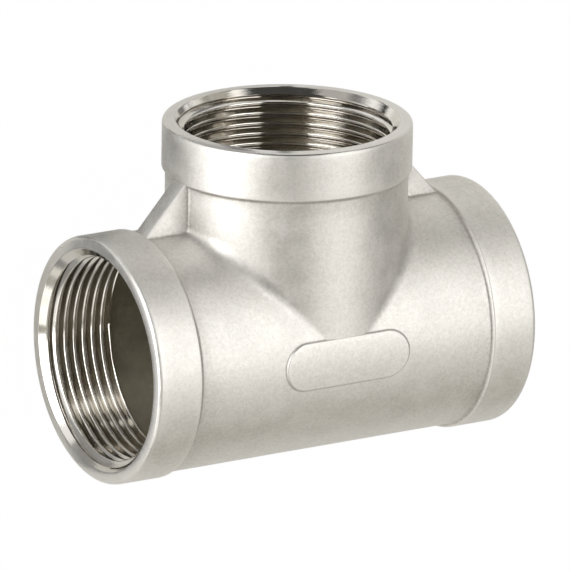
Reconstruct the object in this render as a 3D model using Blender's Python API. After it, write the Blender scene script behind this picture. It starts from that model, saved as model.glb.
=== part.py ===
"""A threaded pipe tee, cast in one piece: three equal sockets and a rib in each crotch.

The tee lies on its three socket bands. Its run lies along X, its branch points
towards +Y and its front faces up. The origin is under the middle of its bounding box.

The run and the branch are equal barrels, so lines at the same angle round each of
them meet on the 45 degree planes of the crotch. The body is swept through such
lines: each one carries the whole wall section of both limbs and the crotch blend.
A tap, a rod with the pipe's outside thread, then cuts each socket's thread into it.
"""

import math

import bmesh
import bpy
from mathutils import Vector

# The sockets, in metres: a G 1 1/2 parallel pipe thread
CENTRE_TO_END = 0.0480
THREAD_MAJOR = 0.047803
THREAD_PITCH = 0.002309
THREAD_LENGTH = 0.0165
THREAD_END_TAPER = 0.0015
THREAD_PILOT = 0.0003
MOUTH_CHAMFER_LAND = 0.0003
RUN_GROOVE_START = 0.00151
BRANCH_GROOVE_START = 0.00118

# The casting round the sockets
CORE_RELIEF = 0.00015
WALL = 0.00255
BAND_STEP = 0.0008
BAND_WIDTH = 0.0107
SHOULDER_RUN = 0.0005
RIM_ROUND = 0.0010
CROTCH_ROUND = 0.0045
CORE_CROTCH_ROUND = 0.0015

# The ribs, which slope from the branch band's edge down to the run bands' feet
RIB_THICKNESS = 0.0051
RIB_FOOT_HEIGHT = 0.0002
RIB_ROOT_ROUND = 0.0011
RIB_EDGE_ROUND = 0.0004

# How finely the round forms are divided
ROWS_PER_QUARTER = 12
THREAD_STEPS = 44
CROTCH_STEPS = 5
CORE_CROTCH_STEPS = 2
RIM_STEPS = 2
RIB_EDGE_STEPS = 1
ROOT_STEPS = 2
TAP_OVERRUN = 0.0020
TAP_SPARE_TURNS = 2
TAP_TURNED_STEPS = 0.37
MERGE = 0.000002
NO_ARC = 0.000001
CLEAR_OF_RIB = math.radians(2)
SHARP_ANGLE = math.radians(35)

# The thread's form as shares of its pitch: its depth, and the width of its flat crests
DEPTH_SHARE = 0.6403
CREST_SHARE = 1 / 6
THREAD_DEPTH = DEPTH_SHARE * THREAD_PITCH
HALF_CREST = CREST_SHARE * THREAD_PITCH / 2

# Radii and setbacks that follow from the sizes above
THREAD_RADIUS = THREAD_MAJOR / 2
CREST_RADIUS = THREAD_RADIUS - THREAD_DEPTH
BORE_RADIUS = CREST_RADIUS - THREAD_PILOT
CHAMFER_RADIUS = THREAD_RADIUS + MOUTH_CHAMFER_LAND
CORE_RADIUS = THREAD_RADIUS + CORE_RELIEF
BARREL_RADIUS = CORE_RADIUS + WALL
BAND_RADIUS = BARREL_RADIUS + BAND_STEP
SHOULDER_SETBACK = BAND_WIDTH + SHOULDER_RUN
NECK_ROOM = CENTRE_TO_END - SHOULDER_SETBACK - BARREL_RADIUS
CROTCH_RADIUS = min(CROTCH_ROUND, NECK_ROOM)
HALF_RIB = RIB_THICKNESS / 2
CENTRE_OFFSET_Y = (BAND_RADIUS - CENTRE_TO_END) / 2

STEEL_COLOUR = (0.62, 0.60, 0.57, 1.0)
STEEL_ROUGHNESS = 0.42


def clear_scene():
    for obj in list(bpy.data.objects):
        bpy.data.objects.remove(obj, do_unlink=True)


def steel_material():
    material = bpy.data.materials.new("cast_stainless_steel")
    material.use_nodes = True
    shader = material.node_tree.nodes["Principled BSDF"]
    shader.inputs["Base Color"].default_value = STEEL_COLOUR
    shader.inputs["Metallic"].default_value = 1.0
    shader.inputs["Roughness"].default_value = STEEL_ROUGHNESS
    return material


def rim_arc():
    """The rounded outer edge of a socket, from the band to the face, as (setback, radius)."""
    centre = BAND_RADIUS - RIM_ROUND
    points = []
    for step in range(RIM_STEPS + 1):
        angle = math.pi / 2 * step / RIM_STEPS
        setback = RIM_ROUND * (1 - math.sin(angle))
        points.append((setback, centre + RIM_ROUND * math.cos(angle)))
    return points


def foot_point(share):
    """A point on the shoulder, from the barrel (share 0) to the band (share 1)."""
    return (SHOULDER_SETBACK - SHOULDER_RUN * share, BARREL_RADIUS + BAND_STEP * share)


def limb_profile(rib_share):
    """One limb's wall section as (setback from the face, radius), outside first.

    It runs from the shoulder's foot over the band and the face, down the mouth's
    chamfer and along the bore to the cored waterway. The second point is where the
    rib's edge meets the shoulder.
    """
    chamfer = CHAMFER_RADIUS - BORE_RADIUS
    outside = [foot_point(0), foot_point(rib_share), foot_point(1)]
    inside = [
        (0, CHAMFER_RADIUS),
        (chamfer, BORE_RADIUS),
        (THREAD_LENGTH, BORE_RADIUS),
        (THREAD_LENGTH + THREAD_END_TAPER, CORE_RADIUS),
    ]
    return outside + rim_arc() + inside


RUN_PROFILE = limb_profile(min(RIB_FOOT_HEIGHT / BAND_STEP, 1))
BRANCH_PROFILE = limb_profile(1)


class Row:
    """A line along the body: at a fixed angle round each limb, or at a fixed height."""

    def __init__(self, angle=None, height=None, rise=None, drop=None):
        self.angle = angle
        self.height = height
        self.rise = rise
        self.drop = drop

    def angle_at(self, radius):
        if self.angle is None:
            return math.asin(self.height / radius)
        return self.angle

    def across(self, radius):
        """The distance from the plane through the run's axis, and the height."""
        angle = self.angle_at(radius)
        return radius * math.cos(angle), radius * math.sin(angle)

    def run_point(self, setback, radius):
        side, height = self.across(radius)
        return Vector((setback - CENTRE_TO_END, side, height))

    def branch_point(self, setback, radius):
        side, height = self.across(radius)
        return Vector((-side, CENTRE_TO_END - setback, height))

    def crotch_arc(self, radius, blend, steps):
        """The blend of two equal barrels, from the run to the branch: a rolling ball's path."""
        angle = self.angle_at(radius)
        side = (radius + blend) * math.cos(angle)
        centre = Vector((-side, side, (radius + blend) * math.sin(angle)))
        to_run = Vector((0, -math.cos(angle), -math.sin(angle)))
        to_branch = Vector((math.cos(angle), 0, -math.sin(angle)))
        if to_run.angle(to_branch) < NO_ARC:
            return [centre + to_run * blend] * (steps + 1)
        return [centre + to_run.slerp(to_branch, step / steps) * blend for step in range(steps + 1)]

    def web(self):
        """The outside between the two shoulders' feet, raised on the rib's rows."""
        path = [self.run_point(*foot_point(0))]
        path += self.crotch_arc(BARREL_RADIUS, CROTCH_RADIUS, CROTCH_STEPS)
        path.append(self.branch_point(*foot_point(0)))
        if self.rise is None and self.drop is None:
            return path
        low = self.run_point(*RUN_PROFILE[1])
        high = self.branch_point(*BRANCH_PROFILE[1])
        last = len(path) - 1
        return [self.raised(point, low.lerp(high, i / last)) for i, point in enumerate(path)]

    def raised(self, point, edge):
        """The point on the rib's side, at the row's rise from the web or drop from the edge."""
        way = edge - point
        if way.length < MERGE:
            return point
        if self.drop is None:
            return point + way * min(self.rise / way.length, 1)
        return edge - way * min(self.drop / way.length, 1)

    def loop(self):
        """The whole wall section of the run limb and the branch limb on this row."""
        run = [self.run_point(*point) for point in RUN_PROFILE[1:]]
        branch = [self.branch_point(*point) for point in BRANCH_PROFILE[1:]]
        core = self.crotch_arc(CORE_RADIUS, CORE_CROTCH_ROUND, CORE_CROTCH_STEPS)
        return run + core + branch[::-1] + self.web()[::-1]

    def half_loop(self):
        """The run limb's wall section on a row of the far side, from mid-length outwards."""
        outside = self.run_point(CENTRE_TO_END, BARREL_RADIUS)
        inside = self.run_point(CENTRE_TO_END, CORE_RADIUS)
        return [outside] + [self.run_point(*point) for point in RUN_PROFILE] + [inside]


def rib_rows():
    """Rows from the rib's middle down its side and out through the fillet at its root."""
    rows = [Row(height=0.0, drop=0.0)]
    for step in range(RIB_EDGE_STEPS + 1):
        turn = math.pi / 2 * step / RIB_EDGE_STEPS
        height = HALF_RIB - RIB_EDGE_ROUND * (1 - math.sin(turn))
        rows.append(Row(height=height, drop=RIB_EDGE_ROUND * (1 - math.cos(turn))))
    for step in range(ROOT_STEPS + 1):
        turn = math.pi / 2 * step / ROOT_STEPS
        height = HALF_RIB + RIB_ROOT_ROUND * (1 - math.cos(turn))
        rows.append(Row(height=height, rise=RIB_ROOT_ROUND * (1 - math.sin(turn))))
    return rows


def crotch_rows():
    """The rows from the rib to the middle of the front, where the two barrels touch."""
    rows = rib_rows()
    clear = math.asin(rows[-1].height / BARREL_RADIUS) + CLEAR_OF_RIB
    for step in range(1, ROWS_PER_QUARTER + 1):
        angle = math.pi / 2 * step / ROWS_PER_QUARTER
        if angle > clear:
            rows.append(Row(angle=angle))
    return rows


def far_rows():
    """The rows from the middle of the front round to the run's far side."""
    steps = range(ROWS_PER_QUARTER, 2 * ROWS_PER_QUARTER + 1)
    return [Row(angle=math.pi / 2 * step / ROWS_PER_QUARTER) for step in steps]


def skin(mesh, lines, closed):
    """Faces between neighbouring lines of points."""
    rings = [[mesh.verts.new(point) for point in line] for line in lines]
    count = len(rings[0])
    for near, far in zip(rings, rings[1:]):
        for i in range(count if closed else count - 1):
            j = (i + 1) % count
            mesh.faces.new((near[i], near[j], far[j], far[i]))


def quarter_mesh():
    """The quarter of the body on the run's -X side, above the plane of the axes."""
    mesh = bmesh.new()
    skin(mesh, [row.loop() for row in crotch_rows()], closed=True)
    skin(mesh, [row.half_loop() for row in far_rows()], closed=False)
    bmesh.ops.remove_doubles(mesh, verts=mesh.verts, dist=MERGE)
    bmesh.ops.dissolve_degenerate(mesh, edges=mesh.edges, dist=MERGE)
    data = bpy.data.meshes.new("tee_body")
    mesh.to_mesh(data)
    mesh.free()
    return data


def thread_form(along):
    """One turn's profile on the tap: the groove's sharp root, then the crest's two edges."""
    crest = along + THREAD_PITCH / 2
    return [(along, THREAD_RADIUS), (crest - HALF_CREST, CREST_RADIUS), (crest + HALF_CREST, CREST_RADIUS)]


def trim(mesh, plane_x, outward):
    """Cuts the tap square at plane_x, drops what lies outward of it and caps the cut."""
    cut = bmesh.ops.bisect_plane(
        mesh,
        geom=mesh.verts[:] + mesh.edges[:] + mesh.faces[:],
        plane_co=(plane_x, 0, 0),
        plane_no=(outward, 0, 0),
        clear_outer=True,
    )
    rim = [piece for piece in cut["geom_cut"] if isinstance(piece, bmesh.types.BMEdge)]
    bmesh.ops.contextual_create(mesh, geom=rim)


def tap_mesh(groove_start):
    """A rod with a right-hand outside thread along +X, from inside the waterway past the face.

    The groove that the tap cuts lies groove_start behind the face on the tap's +Y side.
    """
    inner_end = CENTRE_TO_END - THREAD_LENGTH - THREAD_END_TAPER - TAP_OVERRUN
    outer_end = CENTRE_TO_END + TAP_OVERRUN
    groove = CENTRE_TO_END - groove_start
    turns_in = math.ceil((groove - inner_end) / THREAD_PITCH) + TAP_SPARE_TURNS
    turns_out = math.ceil((outer_end - groove) / THREAD_PITCH) + TAP_SPARE_TURNS
    mesh = bmesh.new()
    lines = []
    for step in range(-turns_in * THREAD_STEPS, turns_out * THREAD_STEPS + 1):
        turned = (step + TAP_TURNED_STEPS) / THREAD_STEPS
        angle = math.tau * turned
        form = thread_form(groove + THREAD_PITCH * turned)
        round_axis = [(x, radius * math.cos(angle), radius * math.sin(angle)) for x, radius in form]
        lines.append([mesh.verts.new(point) for point in round_axis])
    for near, far in zip(lines, lines[1:]):
        for i in range(len(near) - 1):
            mesh.faces.new((near[i], near[i + 1], far[i + 1], far[i]))
    for i in range(len(lines) - 1 - THREAD_STEPS):
        this_turn, next_turn = lines[i : i + 2], lines[i + THREAD_STEPS : i + THREAD_STEPS + 2]
        mesh.faces.new((this_turn[0][-1], next_turn[0][0], next_turn[1][0], this_turn[1][-1]))
    bmesh.ops.triangulate(mesh, faces=mesh.faces)
    trim(mesh, inner_end, -1)
    trim(mesh, outer_end, 1)
    bmesh.ops.recalc_face_normals(mesh, faces=mesh.faces)
    data = bpy.data.meshes.new("tap")
    mesh.to_mesh(data)
    mesh.free()
    return data


def cut_thread(body, name, data, turn):
    """Cuts one socket's thread with a tap that is turned from +X towards that socket."""
    tap = bpy.data.objects.new("tap_" + name, data)
    bpy.context.scene.collection.objects.link(tap)
    tap.parent = body
    tap.rotation_euler = (0, 0, turn)
    tap.hide_render = True
    tap.display_type = "WIRE"
    cut = body.modifiers.new("thread_" + name, "BOOLEAN")
    cut.operation = "DIFFERENCE"
    cut.solver = "EXACT"
    cut.object = tap


def tee_body():
    data = quarter_mesh()
    data.materials.append(steel_material())
    data.shade_smooth()
    data.set_sharp_from_angle(angle=SHARP_ANGLE)
    body = bpy.data.objects.new("tee_body", data)
    bpy.context.scene.collection.objects.link(body)
    body.location = (0, CENTRE_OFFSET_Y, BAND_RADIUS)
    mirror = body.modifiers.new("other_three_quarters", "MIRROR")
    mirror.use_axis = (True, False, True)
    mirror.merge_threshold = MERGE
    return body


def main():
    clear_scene()
    body = tee_body()
    run_tap = tap_mesh(RUN_GROOVE_START)
    cut_thread(body, "right", run_tap, 0)
    cut_thread(body, "left", run_tap, math.pi)
    cut_thread(body, "branch", tap_mesh(BRANCH_GROOVE_START), math.pi / 2)


main()
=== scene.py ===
"""The looks of a cast stainless steel threaded tee, lying on its bands in a white studio.

The casting is one piece: two run sockets, a branch socket, the blended barrels between
them and a rib in each crotch. Its mesh is built round the crossing of the two axes, with
the run along X, the branch towards +Y and the front up, and then set down on the floor.
"""

import logging
import math
from collections.abc import Callable, Sequence
from dataclasses import dataclass, field
from enum import Enum

import bmesh
import bpy
import numpy as np
from mathutils import Matrix, Vector


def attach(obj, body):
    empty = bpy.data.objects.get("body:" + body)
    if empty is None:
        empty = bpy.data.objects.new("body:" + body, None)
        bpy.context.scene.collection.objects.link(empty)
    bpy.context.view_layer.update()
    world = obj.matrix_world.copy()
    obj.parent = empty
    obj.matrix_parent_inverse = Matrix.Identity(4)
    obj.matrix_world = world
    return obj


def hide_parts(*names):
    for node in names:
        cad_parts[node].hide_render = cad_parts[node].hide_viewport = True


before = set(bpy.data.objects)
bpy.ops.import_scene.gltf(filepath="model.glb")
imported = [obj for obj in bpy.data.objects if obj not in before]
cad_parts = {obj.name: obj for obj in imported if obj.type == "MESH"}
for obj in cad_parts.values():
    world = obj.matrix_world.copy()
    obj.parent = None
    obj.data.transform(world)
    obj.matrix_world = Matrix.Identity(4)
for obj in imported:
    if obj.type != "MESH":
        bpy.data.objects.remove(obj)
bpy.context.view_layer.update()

LOG = logging.getLogger("tee")
BODY = "root"
WELD = 1.0e-6
SHARP_ANGLE = math.radians(38)
FULL_BEND = 0.3
BEND_LAYERS = ("hollow", "ridge")
AXES_INPUT = {"1D": "W", "3D": "Vector"}
ANGLE_DIGITS = 12
MIRRORS = ((1, 1, 1), (-1, 1, 1), (1, 1, -1), (-1, 1, -1))
SQUARE = ((0, 0), (1, 0), (1, 1), (0, 1))
CARD_COLOUR = (1.0, 0.985, 0.96, 1.0)

Pair = tuple[float, float]
Point = tuple[float, float, float]
Faces = list[tuple[int, ...]]
Colour = tuple[float, float, float]
PlaceAt = Callable[[float, float], Vector]
Output = bpy.types.NodeSocket
Value = float | Output
Effects = dict[str, Output]


class Zone(Enum):
    """The finishes on the casting, in the order of the mesh's material slots."""

    CAST = 0
    TURNED = 1
    THREAD = 2
    WATERWAY = 3


@dataclass(frozen=True)
class PipeThread:
    """A parallel G 1 1/2 thread as it is cut in a socket, in metres."""

    root_radius: float = 0.0239015
    pitch: float = 0.002309
    length: float = 0.0165
    end_taper: float = 0.0015
    depth_share: float = 0.6403
    round_share: float = 0.1373
    flank_angle: float = math.radians(27.5)
    round_steps: int = 4

    def form(self) -> list[Pair]:
        """One pitch of the thread as (share of the pitch, depth filled as a share of it).

        Returns:
            Points from the middle of a groove to just before the middle of the next.
        """
        arc_end = math.pi / 2 - self.flank_angle
        turns = [arc_end * step / self.round_steps for step in range(self.round_steps + 1)]
        arc = self.round_share
        root = [(arc * math.sin(turn), arc * (1 - math.cos(turn))) for turn in turns]
        crest = [(0.5 - share, self.depth_share - filled) for share, filled in root[::-1]]
        half = [*root, (0.25, self.depth_share / 2), *crest]
        return half + [(1 - share, filled) for share, filled in half[-2:0:-1]]


@dataclass(frozen=True)
class Socket:
    """The sizes that the three sockets share, in metres, with setbacks from their faces."""

    centre_to_end: float = 0.0480
    mouth_radius: float = 0.0246015
    core_radius: float = 0.0240515
    pilot_radius: float = 0.0221230
    barrel_radius: float = 0.0266015
    band_radius: float = 0.0274015
    band_width: float = 0.0107
    shoulder_run: float = 0.0005
    rim_round: float = 0.0010
    band_edge_round: float = 0.00045
    foot_round: float = 0.0009
    mouth_round: float = 0.00015
    turned_rim: float = 0.00035
    barrel_lead: float = 0.002
    shoulder_steps: int = 4
    rim_steps: int = 7
    mouth_steps: int = 2

    def outside(self) -> list[Pair]:
        """The section from the barrel over the shoulder, band and rim to the mouth's edge.

        Returns:
            The points as (setback, radius).
        """
        foot = self.band_width + self.shoulder_run
        corners = [
            (foot, self.barrel_radius, self.foot_round, self.shoulder_steps),
            (self.band_width, self.band_radius, self.band_edge_round, self.shoulder_steps),
            (0.0, self.band_radius, self.rim_round, self.rim_steps),
            (0.0, self.mouth_radius, self.mouth_round, self.mouth_steps),
        ]
        start = (foot + self.barrel_lead, self.barrel_radius)
        end = (self.mouth_round * 2, self.mouth_radius - self.mouth_round * 2)
        return rounded_section(start, corners, end)


@dataclass(frozen=True)
class Rib:
    """The flat rib in each crotch, in metres."""

    thickness: float = 0.0051
    foot_height: float = 0.0002
    root_round: float = 0.0007
    edge_round: float = 0.0003
    edge_steps: int = 4
    root_steps: int = 5


@dataclass(frozen=True)
class CrotchBlend:
    """The rolling ball between the barrels, tight beside the rib and full further out."""

    tight: float = 0.0014
    full: float = 0.0045
    tight_until: float = math.radians(7)
    full_from: float = math.radians(34)

    def radius_at(self, angle: float) -> float:
        """The ball's radius at a place round the limbs.

        Args:
            angle: The place's angle, 0 at the crotch.

        Returns:
            The radius in metres.
        """
        share = (angle - self.tight_until) / (self.full_from - self.tight_until)
        share = min(max(share, 0.0), 1.0)
        return self.tight + (self.full - self.tight) * share * share * (3 - 2 * share)


SOCKET = Socket()
THREAD = PipeThread()
RIB = Rib()
CROTCH = CrotchBlend()
CENTRE = Vector((0, (SOCKET.band_radius - SOCKET.centre_to_end) / 2, SOCKET.band_radius))
CORE_CROTCH_ROUND = 0.0015
PICTURE_RIGHT = Vector((0.8526, 0, 0.5226))
PICTURE_AWAY = Vector((0.5226, 0, -0.8526))
PICTURE_UP = Vector((0, 1, 0))


def rounded_section(start: Pair, corners: list[tuple[float, float, float, int]], end: Pair) -> list[Pair]:
    """A section line whose corners are rounded by arcs.

    Args:
        start: Where the line comes from; the point itself is left out.
        corners: Each corner as (setback, radius, rounding radius, steps of its arc).
        end: Where the line goes to; the point itself is left out.

    Returns:
        The arcs' points in order, as (setback, radius).
    """
    stops = [Vector(start), *(Vector(c[:2]) for c in corners), Vector(end)]
    points = []
    for i, (setback, radius, rounding, steps) in enumerate(corners):
        corner = Vector((setback, radius))
        back = (stops[i] - corner).normalized()
        ahead = (stops[i + 2] - corner).normalized()
        half_turn = back.angle(ahead) / 2
        centre = corner + (back + ahead).normalized() * (rounding / math.sin(half_turn))
        reach = rounding / math.tan(half_turn)
        first = (corner + back * reach - centre).normalized()
        last = (corner + ahead * reach - centre).normalized()
        for step in range(steps + 1):
            points.append(tuple(centre + first.slerp(last, step / steps) * rounding))
    return points


@dataclass(frozen=True)
class Row:
    """A line along the casting: at a fixed angle round each limb, or at a fixed height.

    A rib's rows are lifted: by rise off the web below, or to drop below the rib's edge.
    """

    angle: float | None = None
    height: float | None = None
    rise: float | None = None
    drop: float | None = None

    def angle_at(self, radius: float) -> float:
        """The row's angle round a limb at this radius, 0 at the crotch."""
        reach = max(radius, SOCKET.mouth_radius)
        return self.angle if self.height is None else math.asin(self.height / reach)

    def run_point(self, setback: float, radius: float) -> Vector:
        """A point on the -X run limb."""
        angle = self.angle_at(radius)
        return Vector((setback - SOCKET.centre_to_end, radius * math.cos(angle), radius * math.sin(angle)))

    def branch_point(self, setback: float, radius: float) -> Vector:
        """A point on the -X side of the branch limb."""
        angle = self.angle_at(radius)
        return Vector((-radius * math.cos(angle), SOCKET.centre_to_end - setback, radius * math.sin(angle)))

    def crotch_arc(self, radius: float, blend: float, steps: int) -> list[Vector]:
        """The rolling ball's path from the run's barrel to the branch's.

        Args:
            radius: The radius of both barrels.
            blend: The ball's radius.
            steps: How many steps the arc is divided into.

        Returns:
            The arc's points, from the run to the branch.
        """
        angle = self.angle_at(radius)
        side = (radius + blend) * math.cos(angle)
        centre = Vector((-side, side, (radius + blend) * math.sin(angle)))
        to_run = Vector((0, -math.cos(angle), -math.sin(angle)))
        to_branch = Vector((math.cos(angle), 0, -math.sin(angle)))
        if to_run.angle(to_branch) < WELD:
            return [centre + to_run * blend] * (steps + 1)
        return [centre + to_run.slerp(to_branch, step / steps) * blend for step in range(steps + 1)]

    def lifted(self, point: Vector, top: Vector) -> Vector:
        """The point moved up the rib's side towards the rib's straight edge.

        Args:
            point: A point on the web below the rib.
            top: The place on the edge above it.

        Returns:
            The point at the row's rise off the web, or its drop below the edge.
        """
        way = top - point
        if way.length < WELD:
            return point
        if self.drop is None:
            return point + way * min(self.rise / way.length, 1)
        return point + way * max(1 - self.drop / way.length, 0)


@dataclass
class Sheet:
    """A grid of points on the casting, with a zone for each strip between two stations."""

    lines: list[list[Vector]]
    zones: list[Zone]

    def mirrored(self, signs: tuple[int, int, int]) -> "Sheet":
        """The same sheet with the signs of its coordinates changed."""
        sign = Vector(signs)
        return Sheet([[point * sign for point in line] for line in self.lines], self.zones)


class Limb(Enum):
    """The three sockets."""

    LEFT = ((-1, 0, 0), (0, -1, 0), 0.00151)
    RIGHT = ((1, 0, 0), (0, 1, 0), 0.00151)
    BRANCH = ((0, 1, 0), (-1, 0, 0), 0.00118)

    def __init__(self, axis: Point, side: Point, groove_start: float) -> None:
        """Takes what is a socket's own.

        Args:
            axis: The unit vector out of its mouth.
            side: The direction across the axis from which the thread's angle is counted.
            groove_start: How far behind the face the groove's middle lies at angle 0.
        """
        self.axis = np.array(axis, float)
        self.side = np.array(side, float)
        self.groove_start = groove_start


@dataclass
class TeeCasting:
    """The whole casting as one closed mesh, threads included."""

    row_step: float = math.radians(3)
    barrel_steps: int = 8
    crotch_steps: int = 16
    core_steps: int = 4
    core_crotch_steps: int = 4
    strip_length: float = 0.0016
    wave_depth: float = 0.00005
    wave_lengths: Pair = (0.009, 0.024)
    wave_count: int = 14
    wave_seed: int = 11
    vertices: list[Point] = field(default_factory=list)
    faces: Faces = field(default_factory=list)
    zones: list[int] = field(default_factory=list)

    def rib_rows(self) -> list[Row]:
        """The rows from the rib's middle down its side and out through its root.

        Returns:
            The rows in order, each with its drop or its rise.
        """
        rows = [Row(height=0.0, drop=0.0), Row(height=RIB.thickness / 4, drop=0.0)]
        half = RIB.thickness / 2
        for step in range(RIB.edge_steps + 1):
            turn = math.pi / 2 * step / RIB.edge_steps
            height = half - RIB.edge_round * (1 - math.sin(turn))
            rows.append(Row(height=height, drop=RIB.edge_round * (1 - math.cos(turn))))
        for step in range(RIB.root_steps + 1):
            turn = math.pi / 2 * step / RIB.root_steps
            height = half + RIB.root_round * (1 - math.cos(turn))
            rows.append(Row(height=height, rise=RIB.root_round * (1 - math.sin(turn))))
        return rows

    def crotch_rows(self) -> list[Row]:
        """The rows from the rib to the middle of the front, where the barrels touch.

        Returns:
            The rib's rows and then rows at fixed angles.
        """
        rows = self.rib_rows()
        clear = math.asin(rows[-1].height / SOCKET.barrel_radius) + self.row_step / 2
        count = round(math.pi / 2 / self.row_step)
        angles = [math.pi / 2 * step / count for step in range(1, count + 1)]
        return rows + [Row(angle=angle) for angle in angles if angle > clear]

    def far_rows(self) -> list[Row]:
        """The rows from the middle of the front round to the run's far side."""
        count = round(math.pi / 2 / self.row_step)
        return [Row(angle=math.pi / 2 * step / count) for step in range(count, 2 * count + 1)]

    def limb_outside(self) -> tuple[list[Pair], list[Zone]]:
        """A limb's section from the mouth's edge to the shoulder's foot, and its zones.

        Returns:
            The points as (setback, radius), and the zone of each strip between them.
        """
        section = SOCKET.outside()[::-1]
        points, zones = [section[0]], []
        for (setback, radius), (next_setback, next_radius) in zip(section, section[1:]):
            along, up = next_setback - setback, next_radius - radius
            steps = max(1, math.ceil(math.hypot(along, up) / self.strip_length))
            for step in range(1, steps + 1):
                points.append((setback + along * (step / steps), radius + up * (step / steps)))
            turned = setback + next_setback < SOCKET.turned_rim * 2
            zones += [Zone.TURNED if turned else Zone.CAST] * steps
        return points, zones

    def barrel_line(self, place: PlaceAt, first: float, last: float) -> list[Vector]:
        """Points along a barrel between two setbacks, both left out."""
        shares = [step / self.barrel_steps for step in range(1, self.barrel_steps)]
        return [place(first + (last - first) * share, SOCKET.barrel_radius) for share in shares]

    @staticmethod
    def lifted_web(row: Row, web: list[Vector]) -> list[Vector]:
        """A rib's row between the two bands, moved to the rib's side or edge.

        Args:
            row: The row.
            web: Its points on the casting below the rib, from band to band.

        Returns:
            The moved points. The rib's edge runs straight from the first to the last.
        """
        foot, edge = web[0].copy(), web[-1] - web[0]
        shares = [(point - foot).dot(edge) / edge.length_squared for point in web]
        shares = np.maximum.accumulate(np.clip(shares, 0, 1))
        return [row.lifted(point, foot + edge * float(share)) for point, share in zip(web, shares)]

    def crotch_sheet(self) -> Sheet:
        """The outside from the -X run mouth over the crotch to the branch mouth.

        Returns:
            The sheet, with a line for each row from the rib to the middle of the front.
        """
        section, zones = self.limb_outside()
        foot = section[-1][0]
        radii = [radius for _, radius in section]
        foot_low = SOCKET.barrel_radius + RIB.foot_height
        low = max(i for i, radius in enumerate(radii) if radius >= foot_low)
        high = max(i for i, radius in enumerate(radii) if radius >= SOCKET.band_radius - WELD)
        lines = []
        for row in self.crotch_rows():
            angle = row.angle_at(SOCKET.barrel_radius)
            blend = CROTCH.radius_at(angle)
            meet = SOCKET.centre_to_end - (SOCKET.barrel_radius + blend) * math.cos(angle)
            run, branch = (
                [place(*point) for point in section] + self.barrel_line(place, foot, meet)
                for place in (row.run_point, row.branch_point)
            )
            arc = row.crotch_arc(SOCKET.barrel_radius, blend, self.crotch_steps)
            line = run + arc + branch[::-1]
            if row.angle is None:
                last = len(line) - high
                line[low:last] = self.lifted_web(row, line[low:last])
            lines.append(line)
        middle = [Zone.CAST] * (2 * self.barrel_steps + self.crotch_steps)
        return Sheet(lines, zones + middle + zones[::-1])

    def far_sheet(self) -> Sheet:
        """The outside of the -X run limb on the side away from the branch.

        Returns:
            The sheet, with a line for each row beyond the middle of the front.
        """
        section, zones = self.limb_outside()
        lines = []
        for row in self.far_rows():
            line = [row.run_point(*point) for point in section]
            line += self.barrel_line(row.run_point, section[-1][0], SOCKET.centre_to_end)
            line.append(row.run_point(SOCKET.centre_to_end, SOCKET.barrel_radius))
            lines.append(line)
        return Sheet(lines, zones + [Zone.CAST] * self.barrel_steps)

    def core_sheets(self) -> list[Sheet]:
        """The cored waterway of one quarter.

        Returns:
            The sheet on the crotch side and the sheet on the far side.
        """
        start = THREAD.length + THREAD.end_taper
        shares = [step / self.core_steps for step in range(self.core_steps)]
        crotch, far = [], []
        for row in self.crotch_rows():
            angle = row.angle_at(SOCKET.core_radius)
            meet = SOCKET.centre_to_end - (SOCKET.core_radius + CORE_CROTCH_ROUND) * math.cos(angle)
            setbacks = [start + (meet - start) * share for share in shares]
            arc = row.crotch_arc(SOCKET.core_radius, CORE_CROTCH_ROUND, self.core_crotch_steps)
            run, branch = (
                [place(setback, SOCKET.core_radius) for setback in setbacks]
                for place in (row.run_point, row.branch_point)
            )
            crotch.append(run + arc + branch[::-1])
        for row in self.far_rows():
            setbacks = [start + (SOCKET.centre_to_end - start) * share for share in [*shares, 1.0]]
            far.append([row.run_point(setback, SOCKET.core_radius) for setback in setbacks])
        strips = 2 * self.core_steps + self.core_crotch_steps
        return [Sheet(crotch, [Zone.WATERWAY] * strips), Sheet(far, [Zone.WATERWAY] * self.core_steps)]

    def ring_angles(self, limb: Limb) -> np.ndarray:
        """The angles of the rows that reach a limb's mouth, in the thread's own count.

        Args:
            limb: The limb.

        Returns:
            The angles in order, from 0 to less than a full turn.
        """
        crotch = [row.angle_at(SOCKET.mouth_radius) for row in self.crotch_rows()]
        if limb is Limb.BRANCH:
            half = crotch + [math.pi - angle for angle in crotch[:-1]]
        else:
            half = crotch + [row.angle for row in self.far_rows()[1:]]
        angles = {round(sign * angle % math.tau, ANGLE_DIGITS) for angle in half for sign in (1, -1)}
        turned = math.pi if limb is Limb.LEFT else 0.0
        return np.array(sorted(round((angle + turned) % math.tau, ANGLE_DIGITS) for angle in angles))

    def add_sheet(self, sheet: Sheet) -> None:
        """Adds a sheet's points and faces to the mesh.

        Args:
            sheet: The sheet.
        """
        start = len(self.vertices)
        width = len(sheet.lines[0])
        for line in sheet.lines:
            self.vertices.extend(tuple(point) for point in line)
        for i in range(len(sheet.lines) - 1):
            for j in range(width - 1):
                corner = start + i * width + j
                self.faces.append((corner, corner + 1, corner + width + 1, corner + width))
                self.zones.append(sheet.zones[j].value)

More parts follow.
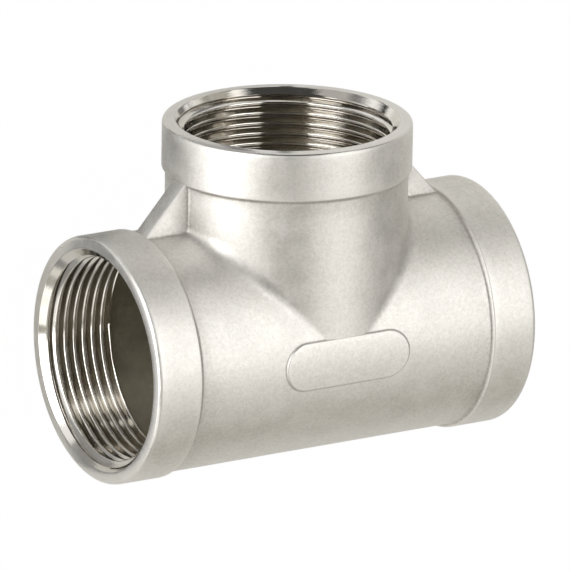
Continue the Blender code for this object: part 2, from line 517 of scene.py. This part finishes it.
    def add_thread(self, limb: Limb) -> None:
        """Adds the threaded bore of a limb, from the mouth's edge to the waterway.

        The bore is a lattice of helical lines, so each crest and groove is a line of
        the mesh. Where the mouth's chamfer or the end's taper cuts deeper, it wins.

        Args:
            limb: The limb whose socket is threaded.
        """
        angles = self.ring_angles(limb)
        form = THREAD.form()
        lines = len(form)
        pitch = THREAD.pitch
        mouth = SOCKET.outside()[-1][0]
        end = THREAD.length + THREAD.end_taper
        first = math.floor((mouth - limb.groove_start) / pitch) - 1
        turns = math.ceil((end - limb.groove_start) / pitch) + 1 - first
        shares = np.array([share for share, _ in form])
        fills = np.array([filled for _, filled in form])
        count = turns * lines + 1
        index = np.arange(count)
        along = limb.groove_start + pitch * (first + index // lines + shares[index % lines])
        setback = along[None, :] - pitch * angles[:, None] / math.tau
        cut = THREAD.root_radius - pitch * fills[index % lines]
        setback = np.clip(setback, mouth, end)
        chamfer = SOCKET.mouth_radius - setback
        slope = (SOCKET.core_radius - SOCKET.pilot_radius) / THREAD.end_taper
        taper = SOCKET.core_radius - (end - setback) * slope
        radius = np.maximum(np.maximum(cut[None, :], chamfer), taper)
        turn = angles[:, None, None]
        across = np.cos(turn) * limb.side + np.sin(turn) * np.array((0, 0, 1.0))
        points = (SOCKET.centre_to_end - setback)[..., None] * limb.axis + radius[..., None] * across
        start = len(self.vertices)
        self.vertices.extend(map(tuple, points.reshape(-1, 3)))
        for i in range(len(angles)):
            seam = i == len(angles) - 1
            here = start + i * count
            there = start - lines if seam else here + count
            for j in range(lines if seam else 0, count - 1):
                self.faces.append((here + j, here + j + 1, there + j + 1, there + j))
                middle = radius[i, j] + radius[i, j + 1]
                tapered = middle - 2 * WELD <= taper[i, j] + taper[i, j + 1]
                self.zones.append((Zone.WATERWAY if tapered else Zone.THREAD).value)

    def waves(self, points: np.ndarray) -> np.ndarray:
        """How deep the casting's slow unevenness is at each point.

        Args:
            points: The points' places in metres, one in each row.

        Returns:
            The depths, from 0 to wave_depth.
        """
        draw = np.random.default_rng(self.wave_seed)
        total = np.zeros(len(points))
        for _ in range(self.wave_count):
            direction = draw.normal(size=3)
            direction /= np.linalg.norm(direction)
            length = draw.uniform(*self.wave_lengths)
            total += np.sin(points @ direction * math.tau / length + draw.uniform(0, math.tau))
        return self.wave_depth * np.clip(0.5 + total / self.wave_count, 0, 1)

    def sink_skin(self, mesh: bmesh.types.BMesh) -> None:
        """Sinks the cast skin by its waves, so that nothing stands proud of the casting.

        Args:
            mesh: The whole casting.
        """
        mesh.normal_update()
        cast = [v for v in mesh.verts if all(f.material_index == Zone.CAST.value for f in v.link_faces)]
        depths = self.waves(np.array([tuple(v.co) for v in cast]))
        moves = [v.normal * float(-depth) for v, depth in zip(cast, depths)]
        for vertex, move in zip(cast, moves):
            vertex.co += move

    def build(self) -> bpy.types.Object:
        """Builds the casting and sets it down on its bands.

        Returns:
            The piece, with no material yet.
        """
        quarters = [self.crotch_sheet(), self.far_sheet(), *self.core_sheets()]
        for sheet in quarters:
            for signs in MIRRORS:
                self.add_sheet(sheet.mirrored(signs))
        for limb in Limb:
            self.add_thread(limb)
        solid = Solid("tee_casting", self.vertices, self.faces, self.zones)
        self.sink_skin(solid.mesh)
        return solid.finish()


@dataclass(frozen=True)
class FrontPanel:
    """The raised panel with round ends on the run's front, in metres.

    It is drawn flat, with s along the run and t round it, and bent onto the barrel.
    """

    length: float = 0.0314
    width: float = 0.0110
    rise: float = 0.00055
    sunk: float = 0.00015
    edge_insets: tuple[float, ...] = (-0.00020, -0.00004, 0.00006, 0.00018, 0.00026, 0.00038, 0.00055)
    edge_rises: tuple[float, ...] = (0.0, 0.00004, 0.00014, 0.00038, 0.00048, 0.00054, 0.00055)
    arc_steps: int = 18
    side_steps: int = 24
    field_rings: int = 5

    def outline(self, inset: float) -> list[Pair]:
        """The outline at an inset.

        Args:
            inset: How far inside the drawn outline, in metres.

        Returns:
            The points in order, as (s, t).
        """
        radius = max(self.width / 2 - inset, 0.0)
        half = (self.length - self.width) / 2
        points = []
        for sign in (1, -1):
            for step in range(self.arc_steps):
                turn = math.pi * (step / self.arc_steps - 0.5)
                points.append((sign * (half + radius * math.cos(turn)), sign * radius * math.sin(turn)))
            for step in range(self.side_steps):
                points.append((sign * half * (1 - 2 * step / self.side_steps), sign * radius))
        return points

    @staticmethod
    def bent(s: float, t: float, rise: float) -> Point:
        """The place on the barrel of a point of the flat drawing."""
        angle, radius = t / SOCKET.barrel_radius, SOCKET.barrel_radius + rise
        return (s, radius * math.sin(angle), radius * math.cos(angle))

    def build(self) -> bpy.types.Object:
        """Builds the panel as a closed solid whose foot is sunk in the barrel.

        Returns:
            The piece, with no material yet.
        """
        middle = self.width / 2
        inner = self.edge_insets[-1]
        edge = zip(self.edge_insets, self.edge_rises)
        rings = [(middle, -self.sunk), (self.edge_insets[0], -self.sunk), *edge]
        for step in range(1, self.field_rings + 1):
            rings.append((inner + (middle - inner) * step / self.field_rings, self.rise))
        vertices, faces = [], []
        for inset, rise in rings:
            vertices.extend(self.bent(s, t, rise) for s, t in self.outline(inset))
        count = len(vertices) // len(rings)
        for ring in range(len(rings) - 1):
            for i in range(count):
                here = ring * count + i
                there = ring * count + (i + 1) % count
                faces.append((here, there, there + count, here + count))
        return Solid("front_panel", vertices, faces).finish()


def in_scene(name: str, data: bpy.types.ID) -> bpy.types.Object:
    """Makes an object and links it to the scene.

    Args:
        name: The object's name.
        data: Its mesh, lamp or camera.

    Returns:
        The object, at the world's middle.
    """
    thing = bpy.data.objects.new(name, data)
    bpy.context.scene.collection.objects.link(thing)
    return thing


class Solid:
    """A closed piece in the making, from points round the crossing of the axes."""

    def __init__(self, name: str, vertices: list[Point], faces: Faces, zones: Sequence[int] = ()) -> None:
        """Joins the points that lie at one place and turns the faces outwards.

        Args:
            name: The piece's name.
            vertices: Its points.
            faces: Its faces, as numbers of points.
            zones: Each face's material slot, if they aren't all the first.
        """
        self.data = bpy.data.meshes.new(name)
        self.data.from_pydata(vertices, [], faces)
        if zones:
            self.data.polygons.foreach_set("material_index", np.array(zones, np.int32))
        self.mesh = bmesh.new()
        self.mesh.from_mesh(self.data)
        bmesh.ops.remove_doubles(self.mesh, verts=self.mesh.verts, dist=WELD)
        bmesh.ops.dissolve_degenerate(self.mesh, edges=self.mesh.edges, dist=WELD)
        bmesh.ops.recalc_face_normals(self.mesh, faces=self.mesh.faces)
        if self.mesh.calc_volume(signed=True) < 0:
            bmesh.ops.reverse_faces(self.mesh, faces=self.mesh.faces)

    def mark_bends(self) -> None:
        """Writes how hollow and how ridged the mesh is at each vertex, from 0 to 1."""
        self.mesh.verts.index_update()
        pairs = np.array([[vertex.index for vertex in edge.verts] for edge in self.mesh.edges])
        turns = np.array([edge.calc_face_angle_signed(0.0) for edge in self.mesh.edges])
        for name, sign in zip(BEND_LAYERS, (-1, 1)):
            bends = np.zeros(len(self.mesh.verts))
            for end in range(2):
                np.maximum.at(bends, pairs[:, end], np.maximum(sign * turns, 0))
            value = np.clip(bends / FULL_BEND, 0, 1)
            total, count = value.copy(), np.ones(len(value))
            for end in range(2):
                np.add.at(total, pairs[:, end], value[pairs[:, 1 - end]])
                np.add.at(count, pairs[:, end], 1)
            layer = self.mesh.verts.layers.float.new(name)
            for vertex, share in zip(self.mesh.verts, total / count):
                vertex[layer] = share

    def finish(self) -> bpy.types.Object:
        """Marks the bends, reports the piece and sets it down with the casting.

        Returns:
            The piece, smooth-shaded and with no material yet.
        """
        self.mark_bends()
        mesh, name = self.mesh, self.data.name
        open_edges = sum(1 for edge in mesh.edges if len(edge.link_faces) != 2)
        counts = (len(mesh.verts), len(mesh.faces), open_edges)
        LOG.info("%s: %d points, %d faces, %d open edges", name, *counts)
        mesh.to_mesh(self.data)
        mesh.free()
        self.data.shade_smooth()
        self.data.set_sharp_from_angle(angle=SHARP_ANGLE)
        piece = in_scene(name, self.data)
        piece.location = CENTRE
        return piece


class Wiring:
    """A node tree that is wired by short calls, in a material or in a group."""

    def __init__(self, tree: bpy.types.NodeTree) -> None:
        """Takes the tree to wire."""
        self.tree = tree

    def node(self, kind: str, inputs: dict | None = None, **settings: object) -> bpy.types.Node:
        """Adds a node.

        Args:
            kind: The node's type name.
            inputs: For each input, by name or number, a value or the output that feeds it.
            settings: The node's own settings.

        Returns:
            The node.
        """
        node = self.tree.nodes.new(kind)
        for name, value in settings.items():
            setattr(node, name, value)
        for name, value in (inputs or {}).items():
            if isinstance(value, Output):
                self.tree.links.new(value, node.inputs[name])
            else:
                node.inputs[name].default_value = value
        return node

    def math(self, operation: str, *values: Value, clamp: bool = False) -> Output:
        """The output of a Math node on values or outputs."""
        inputs = dict(enumerate(values))
        return self.node("ShaderNodeMath", inputs, operation=operation, use_clamp=clamp).outputs[0]

    def mixed(self, first: Value, share: float, second: Value) -> Output:
        """The first value at a share, and the second at the rest."""
        return self.math("MULTIPLY_ADD", first, share, self.math("MULTIPLY", second, 1 - share))

    def noise(self, axes: str, place: Output, scale: Value, detail: float, rough: float) -> Output:
        """The value of a noise texture along W, for axes 1D, or at a Vector, for 3D."""
        inputs = {AXES_INPUT[axes]: place, "Scale": scale, "Detail": detail, "Roughness": rough}
        return self.node("ShaderNodeTexNoise", inputs, noise_dimensions=axes).outputs["Fac"]

    def spread(self, value: Output, low: float, high: float, to: Pair = (0.0, 1.0)) -> Output:
        """The value mapped from one range to another, smoothly and held at the ends."""
        inputs = {"Value": value, "From Min": low, "From Max": high, "To Min": to[0], "To Max": to[1]}
        return self.node("ShaderNodeMapRange", inputs, interpolation_type="SMOOTHSTEP").outputs[0]

    def blend(self, share: Output, first: Colour | Output, second: Colour) -> Output:
        """The colour between two colours.

        Args:
            share: How much of the second there is.
            first: The first colour, or the output that makes it.
            second: The second colour.

        Returns:
            The output.
        """
        node = self.node("ShaderNodeMix", {"Factor": share}, data_type="RGBA")
        for name, colour in (("A_Color", first), ("B_Color", second)):
            socket = next(item for item in node.inputs if item.identifier == name)
            if isinstance(colour, Output):
                self.tree.links.new(colour, socket)
            else:
                socket.default_value = (*colour, 1)
        return next(item for item in node.outputs if item.identifier == "Result_Color")

    def bend(self, layer: str) -> Output:
        """How hollow or how ridged the mesh is, by its layer's name."""
        return self.node("ShaderNodeAttribute", attribute_name=layer).outputs["Fac"]


class EffectGroup:
    """A node group that several finishes share, built once and placed in each."""

    name: str = "effect"
    inputs: tuple[str, ...] = ()
    outputs: tuple[str, ...] = ()

    def wire(self, wiring: Wiring, given: bpy.types.Node) -> dict[str, Output]:
        """Wires the effect.

        Args:
            wiring: The group's wiring.
            given: The node with the group's inputs.

        Returns:
            What feeds each output, by name.
        """
        raise NotImplementedError

    def tree(self) -> bpy.types.NodeTree:
        """The group, made the first time that it is asked for.

        Returns:
            The group's node tree.
        """
        made = bpy.data.node_groups.get(self.name)
        if made:
            return made
        tree = bpy.data.node_groups.new(self.name, "ShaderNodeTree")
        for side, names in (("INPUT", self.inputs), ("OUTPUT", self.outputs)):
            for name in names:
                tree.interface.new_socket(name, in_out=side, socket_type="NodeSocketFloat")
        wiring = Wiring(tree)
        given = wiring.node("NodeGroupInput")
        wiring.node("NodeGroupOutput", self.wire(wiring, given))
        return tree

    def place(self, wiring: Wiring, **values: Value) -> bpy.types.Node:
        """Places the group in a finish, with this finish's values."""
        inputs = {name.capitalize(): value for name, value in values.items()}
        return wiring.node("ShaderNodeGroup", inputs, node_tree=self.tree())


class BlastGrain(EffectGroup):
    """The fine pitted grain that bead blasting leaves, with soft clouds under it."""

    name = "blast_grain"
    inputs = ("Grain", "Cloud")
    outputs = ("Height", "Speckle", "Clouds")
    pit_size = 0.42
    pit_depth = 0.6
    pit_tone = 0.8

    def wire(self, wiring: Wiring, given: bpy.types.Node) -> dict[str, Output]:
        """Wires the grain from noise at three sizes.

        Args:
            wiring: The group's wiring.
            given: The node with the sizes of the grain and of the clouds, in metres.

        Returns:
            What feeds the height, the speckle and the clouds.
        """
        place = wiring.node("ShaderNodeTexCoord").outputs["Object"]
        fine_scale = wiring.math("DIVIDE", 1.0, given.outputs["Grain"])
        cloud_scale = wiring.math("DIVIDE", 1.0, given.outputs["Cloud"])
        fine = wiring.noise("3D", place, fine_scale, detail=2.0, rough=0.6)
        pits_scale = wiring.math("MULTIPLY", fine_scale, self.pit_size)
        pits = wiring.noise("3D", place, pits_scale, detail=1.0, rough=0.5)
        clouds = wiring.noise("3D", place, cloud_scale, detail=3.0, rough=0.55)
        height = wiring.math("MULTIPLY_ADD", pits, self.pit_depth, fine)
        speckle = wiring.math("MULTIPLY_ADD", pits, self.pit_tone, fine)
        speckle = wiring.spread(speckle, low=0.6, high=1.2)
        clouds = wiring.spread(clouds, low=0.3, high=0.7)
        return {"Height": height, "Speckle": speckle, "Clouds": clouds}


class TurningMarks(EffectGroup):
    """The rings that a lathe tool leaves round a socket's axis.

    They follow the socket's section line: metres off the axis plus metres along it.
    """

    name = "turning_marks"
    inputs = ("Feed", "Chatter")
    outputs = ("Rings", "Tone")
    branch_begins = 0.0270
    chatter_depth = 2.0

    def wire(self, wiring: Wiring, given: bpy.types.Node) -> dict[str, Output]:
        """Wires fine rings and a slower chatter, round the run's axis or the branch's.

        Args:
            wiring: The group's wiring.
            given: The node with the feed and the chatter, in metres.

        Returns:
            What feeds the rings' height and their tone.
        """
        place = wiring.node("ShaderNodeTexCoord").outputs["Object"]
        parts = wiring.node("ShaderNodeSeparateXYZ", {0: place}).outputs
        squares = [wiring.math("MULTIPLY", part, part) for part in parts]
        in_branch = wiring.math("GREATER_THAN", parts["Y"], self.branch_begins)
        in_run = wiring.math("SUBTRACT", 1.0, in_branch)
        across = wiring.math("MULTIPLY", squares[0], in_branch)
        across = wiring.math("MULTIPLY_ADD", squares[1], in_run, across)
        radius = wiring.math("SQRT", wiring.math("ADD", across, squares[2]))
        along = wiring.math("MULTIPLY", wiring.math("ABSOLUTE", parts["X"]), in_run)
        along = wiring.math("MULTIPLY_ADD", parts["Y"], in_branch, along)
        section = wiring.math("ADD", radius, along)
        feeds, chatters = (wiring.math("DIVIDE", section, given.outputs[name]) for name in self.inputs)
        fine = wiring.noise("1D", feeds, scale=1.0, detail=2.0, rough=0.6)
        slow = wiring.noise("1D", chatters, scale=1.0, detail=1.0, rough=0.5)
        rings = wiring.math("MULTIPLY_ADD", slow, self.chatter_depth, fine)
        return {"Rings": rings, "Tone": wiring.spread(slow, low=0.3, high=0.7)}


@dataclass(frozen=True)
class SteelFinish:
    """A finish of the stainless steel; the bump, the grain and the clouds are in metres."""

    name: str
    light: Colour
    dark: Colour
    roughness: float
    rough_spread: float
    bump: float
    grain: float = 0.00035
    cloud: float = 0.006
    cloud_share: float = 0.5
    # Painted shade: the dark colour blended into the hollows, and how much of it.
    shade_colour: Colour = (0.30, 0.28, 0.25)
    shade_share: float = 0.0

    def effects(self, wiring: Wiring) -> Effects:
        """The outputs of the finish's effects, by name."""
        return dict(BlastGrain().place(wiring, grain=self.grain, cloud=self.cloud).outputs.items())

    def tone(self, wiring: Wiring, effects: Effects) -> Output:
        """How light the steel is, from 0 to 1."""
        return wiring.mixed(effects["Clouds"], self.cloud_share, effects["Speckle"])

    def hollow_shade(self, wiring: Wiring, effects: Effects) -> Output:
        """How much painted shade the hollows get, from 0 to 1."""
        return wiring.bend(BEND_LAYERS[0])

    def rough(self, effects: Effects) -> Output:
        """The share of the roughness's spread."""
        return effects["Clouds"]

    def height(self, wiring: Wiring, effects: Effects) -> Output:
        """The height of the bump."""
        return effects["Height"]

    def material(self) -> bpy.types.Material:
        """Makes the material, with its constants on the shader.

        Returns:
            The material.
        """
        material = bpy.data.materials.new(self.name)
        material.use_nodes = True
        wiring = Wiring(material.node_tree)
        shader = material.node_tree.nodes["Principled BSDF"]
        shader.inputs["Metallic"].default_value = 1
        effects = self.effects(wiring)
        colour = wiring.blend(self.tone(wiring, effects), self.dark, self.light)
        # Painted shade: the hollows are blended towards the dark shade colour.
        if self.shade_share:
            share = wiring.math("MULTIPLY", self.hollow_shade(wiring, effects), self.shade_share, clamp=True)
            colour = wiring.blend(share, colour, self.shade_colour)
        roughness = wiring.math("MULTIPLY_ADD", self.rough(effects), self.rough_spread, self.roughness)
        inputs = {"Height": self.height(wiring, effects), "Distance": self.bump, "Strength": 1.0}
        bump = wiring.node("ShaderNodeBump", inputs).outputs[0]
        for name, output in (("Base Color", colour), ("Roughness", roughness), ("Normal", bump)):
            wiring.tree.links.new(output, shader.inputs[name])
        return material


@dataclass(frozen=True)
class CastSkin(SteelFinish):
    """The bead-blasted outside of the casting, with a painted highlight on ridges and painted shade in
    hollows.
    """

    name: str = "cast_skin"
    light: Colour = (0.80, 0.785, 0.76)
    dark: Colour = (0.64, 0.625, 0.595)
    roughness: float = 0.46
    rough_spread: float = 0.08
    bump: float = 0.000025
    cloud_share: float = 0.35
    # Painted shade in the hollows, eased on the grain's light speckles.
    shade_share: float = 0.5
    least_shade: float = 0.7

    def tone(self, wiring: Wiring, effects: Effects) -> Output:
        """How light the steel is, with a painted highlight on its ridges."""
        # Painted highlight: the ridge layer lightens the colour.
        ridge = wiring.bend(BEND_LAYERS[1])
        return wiring.math("ADD", super().tone(wiring, effects), ridge, clamp=True)

    def hollow_shade(self, wiring: Wiring, effects: Effects) -> Output:
        """How much painted shade the hollows get, and least on the grain's light speckles."""
        speckle_ease = wiring.spread(effects["Speckle"], 0.0, 1.0, (1.0, self.least_shade))
        return wiring.math("MULTIPLY", super().hollow_shade(wiring, effects), speckle_ease)


@dataclass(frozen=True)
class TooledFinish(SteelFinish):
    """A finish with the marks of a lathe tool, whose feed and chatter are in metres."""

    feed: float = 0.00011
    chatter: float = 0.0008

    def effects(self, wiring: Wiring) -> Effects:
        """The outputs of the grain and of the tool's marks, by name."""
        marks = TurningMarks().place(wiring, feed=self.feed, chatter=self.chatter)
        return super().effects(wiring) | dict(marks.outputs.items())


@dataclass(frozen=True)
class TurnedFace(TooledFinish):
    """The machined faces and mouths, ringed by the tool and lightly blasted over."""

    name: str = "turned_face"
    light: Colour = (0.80, 0.79, 0.77)
    dark: Colour = (0.68, 0.665, 0.64)
    roughness: float = 0.20
    rough_spread: float = 0.08
    bump: float = 0.000006
    grain_depth: float = 0.35

    def tone(self, wiring: Wiring, effects: Effects) -> Output:
        """How light the steel is, by its clouds and its rings."""
        return wiring.mixed(effects["Tone"], 1 - self.cloud_share, effects["Clouds"])

    def height(self, wiring: Wiring, effects: Effects) -> Output:
        """The height of the rings with the grain over them."""
        return wiring.math("MULTIPLY_ADD", effects["Height"], self.grain_depth, effects["Rings"])


@dataclass(frozen=True)
class CutThread(TooledFinish):
    """The cut thread: bright, smooth along the cut and with painted shade in its grooves."""

    name: str = "cut_thread"
    light: Colour = (0.96, 0.945, 0.915)
    dark: Colour = (0.82, 0.79, 0.735)
    roughness: float = 0.07
    rough_spread: float = 0.04
    bump: float = 0.000004
    feed: float = 0.00016
    chatter: float = 0.0005
    # Painted shade: the grooves are darkened towards this colour.
    shade_colour: Colour = (0.26, 0.21, 0.16)
    shade_share: float = 0.6

    def tone(self, wiring: Wiring, effects: Effects) -> Output:
        """How light the steel is, by its clouds alone."""
        return effects["Clouds"]

    def height(self, wiring: Wiring, effects: Effects) -> Output:
        """The height of the rings alone."""
        return effects["Rings"]


@dataclass(frozen=True)
class Waterway(SteelFinish):
    """The rough cored inside, left as it came out of the mould."""

    name: str = "waterway"
    light: Colour = (0.48, 0.45, 0.37)
    dark: Colour = (0.36, 0.33, 0.27)
    roughness: float = 0.5
    rough_spread: float = 0.1
    bump: float = 0.00002
    grain: float = 0.0005
    cloud_share: float = 0.6

    def rough(self, effects: Effects) -> Output:
        """The share of the roughness's spread, in speckles."""
        return effects["Speckle"]


FINISHES = dict(zip(Zone, (CastSkin(), TurnedFace(), CutThread(), Waterway())))


@dataclass(frozen=True)
class PhotoCamera:
    """The camera, where the photograph was taken from, in metres, with its roll in degrees."""

    back: Point = (-0.4991, 0.2962, 0.8143)
    roll: float = 0.818
    target: Point = (0.00010, -0.000404, 0.0274)
    half_pixel: float = 0.0001093
    distance: float = 3.0994
    lens: float = 895.28
    sensor: float = 36
    clip: Pair = (0.1, 20)

    def build(self) -> None:
        """Makes the camera and gives it to the scene."""
        back = Vector(self.back).normalized()
        right = (PICTURE_RIGHT - back * PICTURE_RIGHT.dot(back)).normalized()
        up = back.cross(right)
        turn = math.radians(self.roll)
        rolled_right = right * math.cos(turn) + up * math.sin(turn)
        rolled_up = up * math.cos(turn) - right * math.sin(turn)
        aim = Vector(self.target) + (rolled_up - rolled_right) * self.half_pixel
        data = bpy.data.cameras.new("photo_camera")
        data.lens = self.lens
        data.sensor_width = self.sensor
        data.clip_start, data.clip_end = self.clip
        camera = in_scene("photo_camera", data)
        axes = Matrix((rolled_right, rolled_up, back)).transposed().to_4x4()
        camera.matrix_world = Matrix.Translation(aim + back * self.distance) @ axes
        bpy.context.scene.camera = camera


@dataclass(frozen=True)
class Standing:
    """What stands round the tee and faces it, in metres, with its angles in degrees.

    They are as the camera's picture has them: heading 0 is towards the camera and 90 is to
    the picture's right, and the climb is above the tee. At level 1 it is white in a mirror.
    """

    name: str
    heading: float
    climb: float
    distance: float
    width: float
    height: float
    level: float

    def place(self) -> Matrix:
        """Where it stands.

        Returns:
            The world matrix, with its +Z away from the tee.
        """
        turn, rise = math.radians(self.heading), math.radians(self.climb)
        ahead = PICTURE_RIGHT * math.sin(turn) - PICTURE_AWAY * math.cos(turn)
        out = ahead * math.cos(rise) + PICTURE_UP * math.sin(rise)
        side = PICTURE_UP.cross(out).normalized()
        axes = Matrix((side, out.cross(side), out)).transposed().to_4x4()
        return Matrix.Translation(Vector((0, 0, CENTRE.z)) + out * self.distance) @ axes


@dataclass(frozen=True)
class Softbox(Standing):
    """A rectangular lamp that the camera doesn't see."""

    def build(self) -> None:
        """Makes the lamp."""
        data = bpy.data.lights.new(self.name, "AREA")
        data.shape = "RECTANGLE"
        data.size = self.width
        data.size_y = self.height
        data.energy = math.pi * self.width * self.height * self.level
        lamp = in_scene(self.name, data)
        lamp.matrix_world = self.place()
        lamp.visible_camera = False


def bare_material(name: str) -> tuple[bpy.types.Material, Wiring]:
    """Makes a material without nodes, for the stage.

    Args:
        name: The material's name.

    Returns:
        The material and its wiring.
    """
    material = bpy.data.materials.new(name)
    material.use_nodes = True
    material.node_tree.nodes.clear()
    return material, Wiring(material.node_tree)


def stage_card(name: str, corners: list[Point], level: float) -> bpy.types.Object:
    """Makes a card of the stage that only the steel's mirror sees, never the camera.

    Args:
        name: The card's name.
        corners: Its four corners in order, in metres.
        level: How bright it is; 0 is black and 1 is white.

    Returns:
        The card, at the world's middle.
    """
    data = bpy.data.meshes.new(name)
    data.from_pydata(corners, [], [(0, 1, 2, 3)])
    material, wiring = bare_material(name)
    glow = wiring.node("ShaderNodeEmission", {"Color": CARD_COLOUR, "Strength": level})
    wiring.node("ShaderNodeOutputMaterial", {"Surface": glow.outputs[0]})
    data.materials.append(material)
    card = in_scene(name, data)
    card.visible_camera = False
    card.visible_diffuse = False
    card.visible_shadow = False
    return card


@dataclass(frozen=True)
class StandingCard(Standing):
    """A card that faces the tee."""

    def build(self) -> None:
        """Makes the card."""
        corners = [((x - 0.5) * self.width, (y - 0.5) * self.height, 0) for x, y in SQUARE]
        card = stage_card(self.name, corners, self.level)
        card.matrix_world = self.place()


@dataclass(frozen=True)
class LyingCard:
    """A card that lies on the floor beside the tee, between two places in x and two in y."""

    name: str
    x: Pair
    y: Pair
    level: float
    lift: float = 0.0003

    def build(self) -> None:
        """Makes the card, with a corner at each end of x and y."""
        corners = [(self.x[right], self.y[far], self.lift) for right, far in SQUARE]
        stage_card(self.name, corners, self.level)


@dataclass(frozen=True)
class Studio:
    """A white floor, a pale world, softboxes on both sides and cards between them."""

    floor_size: float = 12.0
    floor_colour: Colour = (0.80, 0.80, 0.79)
    floor_seen: float = 0.993
    floor_mirrored: float = 0.02
    world_colour: Colour = (1.0, 0.96, 0.85)
    world_level: float = 0.44
    softboxes: tuple[Softbox, ...] = (
        Softbox("key_right", 50, 24, 1.0, 0.72, 0.92, 1.85),
        Softbox("fill_right", 50, -8, 1.0, 0.80, 0.30, 1.4),
        Softbox("low_right", 52, -36, 1.0, 0.90, 0.44, 0.48),
        Softbox("high_right", 72, 62, 1.0, 0.44, 0.40, 0.7),
        Softbox("key_left", -43, 31, 1.0, 0.66, 0.72, 2.9),
        Softbox("fill_left", -43, -3, 1.0, 0.60, 0.44, 2.2),
        Softbox("low_left", -40, -36, 1.0, 0.60, 0.50, 0.85),
        Softbox("strip_left", -58.5, 0, 0.25, 0.05, 0.14, 2.8),
    )
    cards: tuple[StandingCard | LyingCard, ...] = (
        StandingCard("dark_front", 4.5, 25, 0.9, 0.79, 1.20, 0.01),
        StandingCard("dark_top", 0, 88, 0.9, 0.90, 0.84, 0.06),
        StandingCard("grey_side", 100, 4, 0.9, 0.50, 0.90, 0.28),
        StandingCard("grey_back", 180, 44, 0.9, 1.60, 0.70, 0.14),
        LyingCard("grey_floor_left", (-0.078, -0.058), (-0.045, 0.030), 0.30),
        LyingCard("grey_floor_corner", (-0.056, -0.029), (0.019, 0.050), 0.18),
        LyingCard("bright_floor_far", (-0.42, -0.16), (-0.12, 0.14), 2.4),
        LyingCard("bright_floor_left", (-0.16, -0.080), (-0.05, 0.14), 0.9),
        LyingCard("bright_floor_top", (-0.35, 0.0), (0.055, 0.40), 0.5),
        LyingCard("mouth_grey", (0.0, 0.0075), (0.0405, 0.075), 0.2),
        LyingCard("mouth_bright_left", (0.0075, 0.0145), (0.0405, 0.075), 0.90),
        LyingCard("mouth_dark", (0.0145, 0.0178), (0.0405, 0.075), 0.02),
        LyingCard("mouth_bright_right", (0.0178, 0.0212), (0.0405, 0.075), 0.90),
    )

    def floor_material(self) -> bpy.types.Material:
        """White for the camera and pale in the steel, with the tee's shadow kept on it.

        Returns:
            The material.
        """
        material, wiring = bare_material("white_floor")
        diffuse = wiring.node("ShaderNodeBsdfDiffuse", {"Color": (*self.floor_colour, 1)})
        glow = wiring.node("ShaderNodeEmission", {"Color": (1, 1, 1, 1), "Strength": 1.0})
        path = wiring.node("ShaderNodeLightPath").outputs
        seen = wiring.math("MULTIPLY", path["Is Camera Ray"], self.floor_seen)
        mirrored = wiring.math("MAXIMUM", path["Is Glossy Ray"], path["Is Transmission Ray"])
        share = wiring.math("MULTIPLY_ADD", mirrored, self.floor_mirrored, seen)
        mix = wiring.node("ShaderNodeMixShader", {0: share, 1: diffuse.outputs[0], 2: glow.outputs[0]})
        wiring.node("ShaderNodeOutputMaterial", {"Surface": mix.outputs[0]})
        return material

    def build(self) -> None:
        """Makes the floor, the world, the lamps and the cards."""
        data = bpy.data.meshes.new("floor")
        corners = [((x - 0.5) * self.floor_size, (y - 0.5) * self.floor_size, 0) for x, y in SQUARE]
        data.from_pydata(corners, [], [(0, 1, 2, 3)])
        data.materials.append(self.floor_material())
        floor = in_scene("floor", data)
        world = bpy.data.worlds.new("studio")
        bpy.context.scene.world = world
        world.use_nodes = True
        wiring = Wiring(world.node_tree)
        background = world.node_tree.nodes["Background"]
        background.inputs["Color"].default_value = (*self.world_colour, 1)
        path = wiring.node("ShaderNodeLightPath").outputs
        strength = wiring.spread(path["Is Camera Ray"], 0.0, 1.0, (self.world_level, 1.0))
        world.node_tree.links.new(strength, background.inputs["Strength"])
        for part in (*self.softboxes, *self.cards):
            part.build()


def main() -> None:
    """Builds the scene."""
    logging.basicConfig(level=logging.INFO, format="%(name)s: %(message)s")
    PhotoCamera().build()
    materials = {zone: FINISHES[zone].material() for zone in Zone}
    casting = TeeCasting().build()
    for zone in Zone:
        casting.data.materials.append(materials[zone])
    panel = FrontPanel().build()
    panel.data.materials.append(materials[Zone.CAST])
    for piece in (casting, panel):
        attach(piece, BODY)
    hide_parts("tee_body")
    Studio().build()
    bpy.context.scene.view_settings.view_transform = "Standard"


if __name__ == "__main__":
    main()
